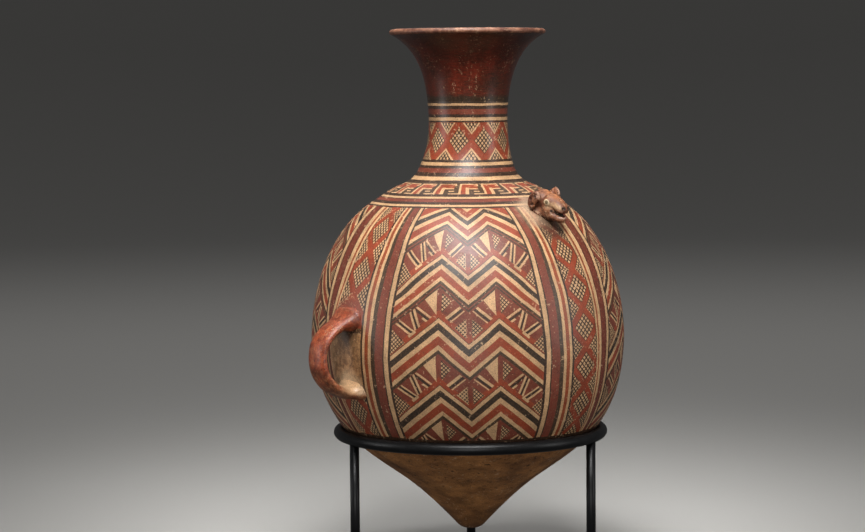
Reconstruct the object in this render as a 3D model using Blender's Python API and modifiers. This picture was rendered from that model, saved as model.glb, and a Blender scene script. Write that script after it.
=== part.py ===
# Painted earthenware jar with a flared mouth and a pointed base, standing in a steel ring stand.
#
# Metres, +Z up. The origin is on the floor, under the jar's axis. The animal head on the shoulder
# faces -Y and the two strap handles stand out along -X and +X, set a little towards the back.
# The jar is one hollow piece of fired clay. The stand is a hoop of round steel bar on three rods.

import math
from collections import namedtuple

import bmesh
import bpy
from mathutils import Matrix, Vector
from mathutils.geometry import interpolate_bezier

# Clearance between touching pieces
GAP = 0.0003

# Jar. Its outline is read at these stations, from the tip up: how far each lies above the one
# before, the outer radius, the slope of the surface there in degrees (0 runs level outward,
# 90 straight up, more than 90 leans inward) and the thickness of the wall.
Station = namedtuple("Station", "rise radius slope wall")
TIP = Station(rise=0.006, radius=0.018, slope=47, wall=0.008)
CONE = Station(rise=0.073, radius=0.098, slope=35, wall=0.011)
SEAT = Station(rise=0.062, radius=0.1733, slope=51, wall=0.0095)
BELLY = Station(rise=0.124, radius=0.214, slope=89, wall=0.0085)
SHOULDER = Station(rise=0.1875, radius=0.128, slope=148.5, wall=0.0085)
NECK_FOOT = Station(rise=0.022, radius=0.0905, slope=163, wall=0.009)
NECK_ROOT = Station(rise=0.0185, radius=0.0675, slope=116, wall=0.009)
NECK_WAIST = Station(rise=0.069, radius=0.054, slope=88.5, wall=0.008)
FLARE = Station(rise=0.0995, radius=0.083, slope=46, wall=0.008)
LIP = Station(rise=0.016, radius=0.1045, slope=24, wall=0.008)
OUTLINE = (TIP, CONE, SEAT, BELLY, SHOULDER, NECK_FOOT, NECK_ROOT, NECK_WAIST, FLARE, LIP)
TIP_CLEARANCE = 0.055           # free height from the floor to the jar's tip
TIP_THICKNESS = 0.030           # solid clay under the hollow, on the axis
OUTER_TURN = math.radians(11)   # most that the outer outline turns between two rings of vertices
INNER_TURN = math.radians(20)   # the same for the hollow
LONGEST_STEP = 0.060            # and the most that either runs on without a ring
LIP_BEAD_STEPS = 4
TURN_STEPS = 48                 # facets round the jar and the hoop

# Strap handles, each in an upright plane through the jar's axis
HANDLE_TURN = math.radians(4)   # of that plane, from X towards the back
HANDLE_BOTTOM = 0.2048          # middle of the lower root, above the tip
HANDLE_SPAN = 0.1002            # from the lower root up to the upper one
HANDLE_REACH = 0.0485           # from the belly out to the middle of the strap
HANDLE_WIDTH = 0.0355
HANDLE_THICKNESS = 0.013
HANDLE_ROUNDNESS = 0.61         # how squarely the strap turns, 0 to 1
HANDLE_SLANT = 0.020            # how far the upper root slopes down on its way out
HANDLE_ROOT_SWELL = 1.45        # thickness at the roots, in mid-strap thicknesses
HANDLE_EMBED = 0.016            # how deep the strap runs into the wall before it is trimmed
HANDLE_SIDES_RESOLUTION = 4
HANDLE_LENGTH_RESOLUTION = 8

# Animal head on the shoulder. Its carving is given as shares of its length, ear line to snout.
HEAD_LENGTH = 0.050
HEAD_SEAT_RADIUS = 0.134        # where on the shoulder it sits, out from the axis
HEAD_STANDOFF = 0.016           # middle of the ear line above the shoulder, square to it
HEAD_TILT = math.radians(25)    # how far the snout dips

# Stand
RING_BAR_DIAMETER = 0.016
LEG_DIAMETER = 0.0127
RING_BAR_SIDES = 10
LEG_SIDES = 16
# Where each rod is welded on, in degrees round the hoop. The right one isn't quite evenly spaced.
LEG_ANGLES = {"stand_leg_right": -71, "stand_leg_back": 45, "stand_leg_left": 165}

CLAY_COLOUR = (0.42, 0.17, 0.09)
CLAY_ROUGHNESS = 0.42
STEEL_COLOUR = (0.012, 0.012, 0.013)
STEEL_ROUGHNESS = 0.45


def clear_scene():
    for leftover in list(bpy.data.objects):
        bpy.data.objects.remove(leftover, do_unlink=True)


def new_collection(name):
    collection = bpy.data.collections.new(name)
    bpy.context.scene.collection.children.link(collection)
    return collection


def new_material(name, colour, roughness, metallic):
    material = bpy.data.materials.new(name)
    material.use_nodes = True
    shader = material.node_tree.nodes["Principled BSDF"]
    shader.inputs["Base Color"].default_value = (*colour, 1)
    shader.inputs["Roughness"].default_value = roughness
    shader.inputs["Metallic"].default_value = metallic
    return material


def add_piece(name, mesh, collection, material):
    piece = bpy.data.objects.new(name, mesh)
    mesh.materials.append(material)
    mesh.shade_smooth()
    mesh.set_sharp_from_angle(angle=math.radians(35))
    collection.objects.link(piece)
    return piece


def add_guide(name, mesh, collection):
    guide = bpy.data.objects.new(name, mesh)
    guide.hide_render = True
    guide.display_type = "WIRE"
    collection.objects.link(guide)
    return guide


def boolean(target, operation, cutter=None, collection=None):
    modifier = target.modifiers.new(operation.title(), "BOOLEAN")
    modifier.operation = operation
    modifier.solver = "EXACT"
    if collection:
        modifier.operand_type = "COLLECTION"
        modifier.collection = collection
    else:
        modifier.object = cutter


# The outline

def direction(slope_degrees):
    slope = math.radians(slope_degrees)
    return Vector((math.cos(slope), 0, math.sin(slope)))


def outward(slope_degrees):
    slope = math.radians(slope_degrees)
    return Vector((math.sin(slope), 0, -math.cos(slope)))


def height_of(station):
    # Height of a station above the tip
    return sum(passed.rise for passed in OUTLINE[:OUTLINE.index(station) + 1])


def knots(depth):
    # Places and slopes that the outline passes, depth walls inside the outer surface.
    # The hollow ends in a round floor over the solid tip.
    first = 1 if depth else 0
    found = [(Vector((0, 0, depth * TIP_THICKNESS)), 0)]
    for station in OUTLINE[first:]:
        place = Vector((station.radius, 0, height_of(station)))
        found.append((place - depth * station.wall * outward(station.slope), station.slope))
    return found


def outline(depth, finest_turn):
    # Points from the axis up to the lip, on smooth curves from knot to knot
    path = []
    passed = knots(depth)
    for (low, low_slope), (high, high_slope) in zip(passed, passed[1:]):
        reach = (high - low).length
        turn = abs(math.radians(high_slope - low_slope))
        steps = max(2, math.ceil(turn / finest_turn), math.ceil(reach / LONGEST_STEP))
        low_arm = low + direction(low_slope) * reach / 3
        high_arm = high - direction(high_slope) * reach / 3
        path += interpolate_bezier(low, low_arm, high_arm, high, steps + 1)[:-1]
    return path + [passed[-1][0]]


def radius_at(height):
    # Outer radius at a height above the tip
    path = outline(0, OUTER_TURN / 4)
    for low, high in zip(path, path[1:]):
        if low.z <= height < high.z:
            share = (height - low.z) / (high.z - low.z)
            return low.x + share * (high.x - low.x)
    raise ValueError("no wall at this height")


def shoulder_at(radius):
    # Height above the tip where the shoulder has this radius, and the slope there
    path = outline(0, OUTER_TURN / 4)
    for low, high in zip(path, path[1:]):
        if low.x >= radius > high.x:
            share = (radius - low.x) / (high.x - low.x)
            along = high - low
            return low.z + share * along.z, math.degrees(math.atan2(along.z, along.x))
    raise ValueError("no shoulder at this radius")


# The jar

def turned_mesh(name, path):
    # An edge chain in the XZ plane, for a Screw modifier to turn
    profile = bpy.data.meshes.new(name)
    edges = [(at, at + 1) for at in range(len(path) - 1)]
    profile.from_pydata([point + Vector((0, 0, TIP_CLEARANCE)) for point in path], edges, [])
    return profile


def turn(piece):
    screw = piece.modifiers.new("Turn", "SCREW")
    screw.steps = TURN_STEPS
    screw.render_steps = TURN_STEPS
    screw.use_merge_vertices = True
    screw.merge_threshold = 0.00001
    screw.use_smooth_shade = True


def shell_path():
    # Up the hollow, over the lip's round bead, and down the outside to the tip
    inside = outline(1, INNER_TURN)
    outside = outline(0, OUTER_TURN)
    middle = (inside[-1] + outside[-1]) / 2
    spoke = inside[-1] - middle
    over = direction(LIP.slope) * spoke.length
    bead = []
    for step in range(1, LIP_BEAD_STEPS):
        angle = math.pi * step / LIP_BEAD_STEPS
        bead.append(middle + spoke * math.cos(angle) + over * math.sin(angle))
    return inside + bead + outside[::-1]


def core_mesh():
    # A solid that fills the jar to the middle of its wall, which ends what is joined on
    path = outline(0.5, INNER_TURN)
    top = Vector((0, 0, path[-1].z))
    return turned_mesh("core", [top] + path[::-1])


def handle_mesh():
    top_height = HANDLE_BOTTOM + HANDLE_SPAN
    low_radius = radius_at(HANDLE_BOTTOM)
    top_radius = radius_at(top_height)
    middle_height = HANDLE_BOTTOM + HANDLE_SPAN / 2
    reach = radius_at(middle_height) + HANDLE_REACH
    places = (Vector((top_radius - HANDLE_EMBED, 0, top_height)),
              Vector((reach, 0, middle_height)),
              Vector((low_radius - HANDLE_EMBED, 0, HANDLE_BOTTOM)))
    arms = (Vector((reach - top_radius + HANDLE_EMBED, 0, -HANDLE_SLANT)) * HANDLE_ROUNDNESS,
            Vector((0, 0, -HANDLE_SPAN / 2)) * HANDLE_ROUNDNESS,
            Vector((low_radius - HANDLE_EMBED - reach, 0, 0)) * HANDLE_ROUNDNESS)
    swells = (HANDLE_ROOT_SWELL, 1, HANDLE_ROOT_SWELL)

    curve = bpy.data.curves.new("handle", "CURVE")
    curve.dimensions = "3D"
    curve.bevel_depth = HANDLE_THICKNESS / 2
    curve.bevel_resolution = HANDLE_SIDES_RESOLUTION
    curve.resolution_u = HANDLE_LENGTH_RESOLUTION
    curve.use_fill_caps = True
    spline = curve.splines.new("BEZIER")
    spline.bezier_points.add(len(places) - 1)
    for point, place, arm, swell in zip(spline.bezier_points, places, arms, swells):
        point.co = place
        point.handle_left = place - arm
        point.handle_right = place + arm
        point.radius = swell
    return mesh_from_curve(curve)


def mesh_from_curve(curve):
    holder = bpy.data.objects.new(curve.name, curve)
    bpy.context.scene.collection.objects.link(holder)
    evaluated = holder.evaluated_get(bpy.context.evaluated_depsgraph_get())
    mesh = bpy.data.meshes.new_from_object(evaluated)
    bpy.data.objects.remove(holder, do_unlink=True)
    solid = bmesh.new()
    solid.from_mesh(mesh)
    bmesh.ops.remove_doubles(solid, verts=solid.verts, dist=0.00001)
    bmesh.ops.recalc_face_normals(solid, faces=solid.faces)
    solid.to_mesh(mesh)
    solid.free()
    return mesh


def add_handles(collection, core):
    strap = handle_mesh()
    flatten = Matrix.Diagonal((1, HANDLE_WIDTH / HANDLE_THICKNESS, 1, 1))
    for side, angle in (("right", HANDLE_TURN), ("left", math.pi - HANDLE_TURN)):
        mesh = strap.copy()
        turned = Matrix.Rotation(angle, 4, "Z")
        mesh.transform(Matrix.Translation((0, 0, TIP_CLEARANCE)) @ turned @ flatten)
        handle = add_guide("handle_" + side, mesh, collection)
        boolean(handle, "DIFFERENCE", cutter=core)


# The animal head. In its own space it looks along +X, with +Y at its left and +Z up.

def head_space():
    height, slope = shoulder_at(HEAD_SEAT_RADIUS)
    middle = Vector((HEAD_SEAT_RADIUS, 0, height)) + outward(slope) * HEAD_STANDOFF
    place = Matrix.Translation((0, -middle.x, middle.z + TIP_CLEARANCE))
    return place @ Matrix.Rotation(-math.pi / 2, 4, "Z") @ Matrix.Rotation(HEAD_TILT, 4, "Y")


def ball_mesh(name, middle, radii, segments, rings, lean=0):
    # An ellipsoid. Its place and radii are shares of the head's length; it leans about Z.
    ball = bmesh.new()
    bmesh.ops.create_uvsphere(ball, u_segments=segments, v_segments=rings, radius=1)
    mesh = bpy.data.meshes.new(name)
    ball.to_mesh(mesh)
    ball.free()
    shape = Matrix.Rotation(lean, 4, "Z") @ Matrix.Diagonal((*radii, 1))
    mesh.transform(Matrix.Scale(HEAD_LENGTH, 4) @ Matrix.Translation(middle) @ shape)
    return mesh


def block_mesh(name, middle, sizes, lean):
    block = bmesh.new()
    bmesh.ops.create_cube(block, size=1)
    mesh = bpy.data.meshes.new(name)
    block.to_mesh(mesh)
    block.free()
    shape = Matrix.Rotation(lean, 4, "Y") @ Matrix.Diagonal((*sizes, 1))
    mesh.transform(Matrix.Scale(HEAD_LENGTH, 4) @ Matrix.Translation(middle) @ shape)
    return mesh


def neck_mesh():
    # Clay under the head, square to the shoulder and ending inside the wall
    slope = shoulder_at(HEAD_SEAT_RADIUS)[1]
    depth = HEAD_STANDOFF + SHOULDER.wall
    stub = bmesh.new()
    bmesh.ops.create_cone(stub, cap_ends=True, segments=14, radius1=0.46 * HEAD_LENGTH,
                          radius2=0.34 * HEAD_LENGTH, depth=depth)
    mesh = bpy.data.meshes.new("head_neck")
    stub.to_mesh(mesh)
    stub.free()
    lean = math.radians(180 - slope)
    upright = Matrix.Rotation(lean - HEAD_TILT, 4, "Y")
    mesh.transform(upright @ Matrix.Translation((0.10 * HEAD_LENGTH, 0, -depth / 2)))
    return mesh


def add_head(added, cut, core):
    space = head_space()

    def place(mesh, collection):
        mesh.transform(space)
        return add_guide(mesh.name, mesh, collection)

    neck = place(neck_mesh(), added)
    boolean(neck, "DIFFERENCE", cutter=core)
    place(ball_mesh("skull", (0.03, 0, -0.07), (0.33, 0.33, 0.26), 16, 10), added)
    place(ball_mesh("brow", (0.36, 0, -0.02), (0.31, 0.28, 0.25), 14, 8), added)
    place(ball_mesh("muzzle", (0.62, 0, 0.04), (0.30, 0.20, 0.16), 14, 8), added)
    place(ball_mesh("jaw", (0.52, 0, -0.25), (0.39, 0.22, 0.12), 14, 8), added)
    place(block_mesh("mouth", (1.00, 0, -0.125), (0.66, 0.9, 0.060), math.radians(3)), cut)
    for side in (-1, 1):
        suffix = "_left" if side > 0 else "_right"
        ear_lean = side * math.radians(-28)
        eye_lean = side * math.radians(-30)
        place(ball_mesh("ear" + suffix, (0.03, side * 0.40, -0.03), (0.17, 0.11, 0.26), 12, 8,
                        ear_lean), added)
        place(ball_mesh("ear_dish" + suffix, (0.08, side * 0.52, -0.02), (0.10, 0.10, 0.17),
                        10, 6, ear_lean), cut)
        place(ball_mesh("eye" + suffix, (0.34, side * 0.26, 0.02), (0.09, 0.05, 0.085), 10, 6,
                        eye_lean), added)
        place(ball_mesh("eye_pit" + suffix, (0.355, side * 0.32, 0.02), (0.045, 0.045, 0.045),
                        8, 5, eye_lean), cut)
        place(ball_mesh("nostril" + suffix, (0.86, side * 0.10, 0.13), (0.045, 0.04, 0.04),
                        8, 5), cut)


def build_jar(collection, clay):
    joined = new_collection("joined_to_the_jar")
    cut = new_collection("cut_from_the_jar")
    guides = new_collection("guides")
    core = add_guide("core", core_mesh(), guides)
    turn(core)
    add_handles(joined, core)
    add_head(joined, cut, core)
    jar = add_piece("jar", turned_mesh("jar", shell_path()), collection, clay)
    turn(jar)
    boolean(jar, "UNION", collection=joined)
    boolean(jar, "DIFFERENCE", collection=cut)


# The stand

def ring_centre():
    # The bar touches the jar at the seat station, square to the wall
    height = height_of(SEAT)
    away = outward(SEAT.slope) * (RING_BAR_DIAMETER / 2 + GAP)
    return Vector((SEAT.radius, 0, height + TIP_CLEARANCE)) + away


def hoop_mesh(name, centre, bar_radius):
    # A bar section, turned once round the axis. One of its corners faces the seat.
    facing = math.radians(SEAT.slope + 90)
    section = bmesh.new()
    spokes = [facing + math.tau * side / RING_BAR_SIDES for side in range(RING_BAR_SIDES)]
    corners = [section.verts.new((centre.x + bar_radius * math.cos(spoke), 0,
                                  centre.z + bar_radius * math.sin(spoke))) for spoke in spokes]
    for first, second in zip(corners, corners[1:] + corners[:1]):
        section.edges.new((first, second))
    bmesh.ops.spin(section, geom=section.verts[:] + section.edges[:], axis=(0, 0, 1),
                   cent=(0, 0, 0), angle=math.tau, steps=TURN_STEPS, use_merge=True)
    bmesh.ops.remove_doubles(section, verts=section.verts, dist=0.00001)
    bmesh.ops.recalc_face_normals(section, faces=section.faces)
    mesh = bpy.data.meshes.new(name)
    section.to_mesh(mesh)
    section.free()
    return mesh


def leg_mesh(name, height, angle):
    rod = bmesh.new()
    bmesh.ops.create_cone(rod, cap_ends=True, segments=LEG_SIDES, radius1=LEG_DIAMETER / 2,
                          radius2=LEG_DIAMETER / 2, depth=height)
    mesh = bpy.data.meshes.new(name)
    rod.to_mesh(mesh)
    rod.free()
    reach = ring_centre().x
    mesh.transform(Matrix.Translation((reach * math.cos(angle), reach * math.sin(angle),
                                       height / 2)))
    return mesh


def build_stand(collection, steel):
    centre = ring_centre()
    bar = RING_BAR_DIAMETER / 2
    add_piece("stand_ring", hoop_mesh("stand_ring", centre, bar), collection, steel)
    trim = new_collection("leg_trim")
    saddle = add_guide("saddle", hoop_mesh("saddle", centre, bar + GAP), trim)
    for name, angle in LEG_ANGLES.items():
        rod = leg_mesh(name, centre.z, math.radians(angle))
        leg = add_piece(name, rod, collection, steel)
        boolean(leg, "DIFFERENCE", cutter=saddle)


clear_scene()
pieces = new_collection("aryballos")
build_jar(pieces, new_material("painted clay", CLAY_COLOUR, CLAY_ROUGHNESS, 0))
build_stand(pieces, new_material("black steel", STEEL_COLOUR, STEEL_ROUGHNESS, 0.6))
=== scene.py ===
# Looks of a painted earthenware jar that stands in a black steel ring stand.
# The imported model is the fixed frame. Everything here is in metres, with +Z up and the animal
# head on the shoulder facing -Y.

from math import atan2, ceil, copysign, cos, degrees, pi, radians, sin, sqrt, tau

import bmesh
import bpy
from mathutils import Matrix, Vector, noise
from mathutils.geometry import interpolate_bezier, intersect_point_line


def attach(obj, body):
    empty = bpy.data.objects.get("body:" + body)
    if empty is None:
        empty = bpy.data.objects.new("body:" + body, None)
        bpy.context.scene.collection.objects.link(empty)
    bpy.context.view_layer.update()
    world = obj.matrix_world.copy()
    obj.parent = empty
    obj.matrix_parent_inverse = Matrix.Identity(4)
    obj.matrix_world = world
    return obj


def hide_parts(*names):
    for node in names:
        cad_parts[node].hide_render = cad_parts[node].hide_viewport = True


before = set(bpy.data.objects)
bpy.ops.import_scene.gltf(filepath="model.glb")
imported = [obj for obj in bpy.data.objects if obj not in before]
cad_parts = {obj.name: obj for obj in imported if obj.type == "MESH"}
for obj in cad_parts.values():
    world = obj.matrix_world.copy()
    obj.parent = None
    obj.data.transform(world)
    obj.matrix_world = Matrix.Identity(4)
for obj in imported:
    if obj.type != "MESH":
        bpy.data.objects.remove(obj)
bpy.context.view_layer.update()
print("frame loaded")



def placed(name, data):
    # A new object, linked into the scene
    made = bpy.data.objects.new(name, data)
    bpy.context.scene.collection.objects.link(made)
    return made


def placedMesh(name, bm):
    mesh = bpy.data.meshes.new(name)
    bm.to_mesh(mesh)
    bm.free()
    return placed(name, mesh)


def clamped(share):
    return max(0, min(1, share))


# Camera at the photograph's viewing angle
camera = {
    "azimuth": radians(225),       # where it stands, seen from the jar's axis
    "distance": 3.323,
    "height": 0.669,
    "pitch": radians(4.33),
    "roll": radians(-0.50),
    "lens": 101.3,
    "aside": 0.0151,                    # from the view's middle to the jar's axis, in radians
}


def addCamera():
    data = bpy.data.cameras.new("photoCamera")
    data.lens = camera["lens"]
    data.clip_start = 0.05
    data.clip_end = 100
    holder = placed("photoCamera", data)
    away = Vector((cos(camera["azimuth"]), sin(camera["azimuth"]), 0))
    holder.location = away * camera["distance"] + Vector((0, 0, camera["height"]))
    facing = Matrix.Rotation(camera["azimuth"] + pi / 2 + camera["aside"], 4, "Z")
    tilt = Matrix.Rotation(pi / 2 - camera["pitch"], 4, "X")
    holder.rotation_euler = (facing @ tilt @ Matrix.Rotation(camera["roll"], 4, "Z")).to_euler()
    bpy.context.scene.camera = holder


addCamera()


# Shader arithmetic. A wire is one socket, and sums written with it become Math nodes.
class Wire:
    def __init__(self, coat, socket):
        self.coat, self.socket = coat, socket

    def maths(self, operation, *values):
        return self.coat.node("ShaderNodeMath", {"operation": operation}, dict(enumerate(values)))

    def __add__(self, other):
        return self.maths("ADD", self, other)

    def __sub__(self, other):
        return self.maths("SUBTRACT", self, other)

    def __rsub__(self, other):
        return self.maths("SUBTRACT", other, self)

    def __mul__(self, other):
        return self.maths("MULTIPLY", self, other)

    def __truediv__(self, other):
        return self.maths("DIVIDE", self, other)

    def __lt__(self, other):
        return self.maths("LESS_THAN", self, other)

    def __gt__(self, other):
        return self.maths("GREATER_THAN", self, other)

    def __abs__(self):
        return self.maths("ABSOLUTE", self)

    __radd__ = __add__
    __rmul__ = __mul__

    def least(self, other):
        return self.maths("MINIMUM", self, other)

    def most(self, other):
        return self.maths("MAXIMUM", self, other)

    def part(self):
        return self.maths("FRACT", self)

    def between(self, low, high):
        return abs(self - (low + high) / 2) < (high - low) / 2

    def wrapped(self, low, high):
        return self.maths("WRAP", self, high, low)


def rgb(red, green, blue):
    # A colour as picked from a screen, 0 to 255, as the shader needs it
    def channel(value):
        share = value / 255
        return share / 12.92 if share <= 0.04045 else ((share + 0.055) / 1.055) ** 2.4
    return (channel(red), channel(green), channel(blue), 1)


# A coat is one material, as it is being made
class Coat:
    def __init__(self, name):
        self.material = bpy.data.materials.new(name)
        self.material.use_nodes = True
        self.tree = self.material.node_tree
        self.shader = self.tree.nodes["Principled BSDF"]
        self.place = self.node("ShaderNodeTexCoord", out="Object")

    def node(self, kind, settings=None, inputs=None, out=0):
        made = self.tree.nodes.new(kind)
        for name, value in (settings or {}).items():
            if name == "stops":
                self.setStops(made.color_ramp, value)
            else:
                setattr(made, name, value)
        for name, value in (inputs or {}).items():
            self.feed(made.inputs[name], value)
        if out == "all":
            return [Wire(self, socket) for socket in made.outputs]
        return Wire(self, made.outputs[out])

    def setStops(self, ramp, stops):
        ramp.interpolation = "CONSTANT"
        while len(ramp.elements) < len(stops):
            ramp.elements.new(1)
        for element, (place, colour) in zip(ramp.elements, stops):
            element.position = place
            element.color = colour

    def feed(self, socket, value):
        if isinstance(value, Wire):
            self.tree.links.new(value.socket, socket)
        else:
            socket.default_value = value

    def mix(self, factor, first, second, blend="MIX"):
        return self.node("ShaderNodeMix", {"data_type": "RGBA", "blend_type": blend},
                         {0: factor, 6: first, 7: second}, out=2)

    def split(self, vector):
        return self.node("ShaderNodeSeparateXYZ", {}, {0: vector}, out="all")

    def cloud(self, size, detail, roughness, place=None, colour=False):
        # Noise with blobs of this size in metres
        return self.node("ShaderNodeTexNoise", {}, {"Vector": place or self.place, "Scale": 1 / size,
                         "Detail": detail, "Roughness": roughness}, out=1 if colour else 0)

    def stretched(self, *scale):
        return self.node("ShaderNodeVectorMath", {"operation": "MULTIPLY"}, {0: self.place, 1: scale})

    def attribute(self, name, out):
        return self.node("ShaderNodeAttribute", {"attribute_name": name}, out=out)

    def ramp(self, value, edges):
        # Flat bands of colour: edges holds (where a band starts, its colour), low to high.
        # Comes back with the colour, and with how much of it there is.
        low = edges[0][0]
        scale = 0.96 / (edges[-1][0] - low)         # leaves a margin at both ends of the ramp
        stops = [((start - low) * scale + 0.02, colour) for start, colour in edges]
        stops[0] = (0, edges[0][1])
        return self.node("ShaderNodeValToRGB", {"stops": stops}, {0: (value - low) * scale + 0.02},
                         out="all")

    def bands(self, value, edges):
        return self.ramp(value, edges)[0]

    def strokes(self, colour, where, value, edges):
        # Bands laid over a colour, with gaps where a band is nothing
        paint, cover = self.ramp(value, edges)
        return self.mix(cover * where, colour, paint)

    def smooth(self, value, low, high):
        # 0 below low, 1 above high, eased between
        return self.node("ShaderNodeMapRange", {"interpolation_type": "SMOOTHSTEP"},
                         {"Value": value, "From Min": low, "From Max": high})

    def shaded(self, colour, cloud, darkest, lightest):
        shade = self.node("ShaderNodeMapRange", {}, {"Value": cloud, "From Min": 0.3, "From Max": 0.7,
                          "To Min": darkest, "To Max": lightest})
        grey = self.node("ShaderNodeCombineColor", {}, {0: shade, 1: shade, 2: shade})
        return self.mix(1, colour, grey, "MULTIPLY")

    def spot(self, ragged, middle, inner, outer, place=None):
        # 1 round a middle, up to inner metres from it, and 0 beyond outer
        away = self.node("ShaderNodeVectorMath", {"operation": "DISTANCE"},
                         {0: place or self.place, 1: middle}, out="Value")
        return 1 - self.smooth(away + ragged, inner, outer)

    def finished(self, colour, roughness, gloss, height, depth):
        bump = self.node("ShaderNodeBump", {}, {"Strength": 1.0, "Height": height, "Distance": depth})
        for name, value in (("Base Color", colour), ("Roughness", roughness), ("Normal", bump),
                            ("Specular IOR Level", gloss)):
            self.feed(self.shader.inputs[name], value)
        return self.material


paints = {
    "cream": rgb(202, 160, 116),
    "red": rgb(144, 56, 27),
    "maroon": rgb(117, 51, 34),
    "plum": rgb(108, 44, 29),
    "brown": rgb(146, 66, 31),
    "black": rgb(46, 33, 21),
    "olive": rgb(60, 42, 24),
    "umber": rgb(46, 28, 17),
}
cream, red, maroon, plum, brown, black, olive, umber = paints.values()
nothing = (0, 0, 0, 0)

finish = {
    "mottleSize": 0.022,
    "gritSize": 0.0016,
    "gritShades": (0.32, 0.26),     # how much darker and how much lighter it makes the paint
    "dustSize": 0.0023,
    "dustShare": 0.22,
    "dustColour": rgb(146, 108, 78),
    "scuffSize": 0.028,
    "chipSize": 0.0044,
    "chipShare": 0.75,
    "chipColour": rgb(196, 160, 124),
    "pitSize": 0.0017,
    "pitShare": 0.8,
    "grainSize": 0.0005,
    "grainDepth": 0.00012,
}


def finishPaint(coat, colour, roughness=0.44, wear=1.0, gloss=0.62, mottle=0.30, depth=1.0):
    # Worn, hand-burnished slip over any painted colour
    blotch = coat.cloud(finish["mottleSize"], 5, 0.6)
    colour = coat.shaded(colour, blotch, 1 - mottle, 1 + mottle * 0.55)
    grit = coat.cloud(finish["gritSize"], 3, 0.7)
    darker, lighter = finish["gritShades"]
    colour = coat.shaded(colour, grit, 1 - darker * wear, 1 + lighter * wear)
    dust = coat.smooth(coat.cloud(finish["dustSize"], 4, 0.75), 0.42, 0.66)
    colour = coat.mix(dust * (finish["dustShare"] * wear), colour, finish["dustColour"])
    # Chips come in drifts, where the slip was scuffed
    scuffs = coat.cloud(finish["scuffSize"], 3, 0.6)
    specks = coat.cloud(finish["chipSize"], 4, 0.75) + (scuffs - 0.5) * 0.35
    chipped = coat.smooth(specks, 0.615, 0.665) * (finish["chipShare"] * wear)
    colour = coat.mix(chipped, colour, finish["chipColour"])
    pits = coat.cloud(finish["pitSize"], 2, 0.6) + (0.5 - scuffs) * 0.12
    pitted = coat.smooth(pits, 0.635, 0.70) * (finish["pitShare"] * wear)
    colour = coat.mix(pitted, colour, umber)
    grain = coat.cloud(finish["grainSize"], 2, 0.6)
    height = grain * 0.35 - pitted * 2.2 - chipped * 0.8 + blotch * 1.2
    roughness = blotch * 0.22 + chipped * 0.25 + (roughness - 0.11)
    return coat.finished(colour, roughness, gloss, height, finish["grainDepth"] * depth)


smears = {                      # place, how far out it is full and where it ends
    "front": ((-0.010, -0.139, 0.497), 0.034, 0.054),
    "nearSide": ((-0.029, -0.146, 0.486), 0.018, 0.038),
    # painted shadow under the chin, with some dirt
    "dirtAndPaintedShadow": ((-0.006, -0.160, 0.477), 0.014, 0.034),
}


def smearNearHead(coat, colour):
    # Pale clay wiped over the paint round the head's root, mostly on the side towards the camera
    ragged = coat.cloud(0.014, 4, 0.65) * 0.030
    wiped = coat.spot(ragged, *smears["front"]).most(coat.spot(ragged, *smears["nearSide"]))
    grit = coat.smooth(coat.cloud(0.0022, 3, 0.7), 0.30, 0.60)
    colour = coat.mix(wiped * (grit * 0.3 + 0.55), colour, rgb(184, 154, 126))
    # Painted shadow, with some soot and dirt in it, in the corner under the chin
    dirtAndPaintedShadow = coat.spot(ragged * 0.3, *smears["dirtAndPaintedShadow"])
    return coat.mix(dirtAndPaintedShadow * 0.8, colour, rgb(52, 29, 20))


# Pattern on the jar. Arcs are millimetres along the outside, measured from the tip, and angles
# are degrees round the axis, with 0 in the middle of the panel that faces the camera.
pattern = {
    "frontAngle": -135.2,
    "wobble": 2.6,              # how unsteady the painter's hand was, in millimetres
    "bareBelow": 228,
    "panelTop": 566.0,
    "topStripe": 569.3,
    "neckTop": 746,
    "neckFoot": 659.2,
    "shoulderFoot": 571.6,
}


def jarPlace(coat, wobble=1.0):
    # Angle from the front panel's middle and arc from the tip, both as the brush wandered
    x, y = coat.split(coat.attribute("trueWall", "Vector"))[:2]
    turn = y.maths("ARCTAN2", y, x)
    arc = coat.attribute("meridian", "Fac")
    aside, along = coat.split(coat.cloud(0.035, 4, 0.55, colour=True))[:2]
    amount = pattern["wobble"] * wobble
    angle = turn * degrees(1) - pattern["frontAngle"] + (aside - 0.5) * (amount * 0.3)
    return angle, arc * 1000 + (along - 0.5) * amount


def dots(across, along):
    # Lozenges in rows, one to each unit both ways
    first = abs((across + along).part() - 0.5) < 0.32
    second = abs((across - along).part() - 0.5) < 0.32
    return first * second


def lozenges(coat, across, along):
    return coat.mix(dots(across, along), umber, cream)


def above(arc, start):
    return (arc - start).most(0) if isinstance(arc, Wire) else max(0, arc - start)


def halfWidth(arc):
    # Half a zigzag panel, in degrees. It narrows towards the neck.
    return 29.0 - above(arc, 350) * 0.0185 - above(arc, 510) * 0.026


def leaning(arc):
    # The panels lean to the left near the neck, in degrees
    return above(arc, 495) * 0.0154


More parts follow.
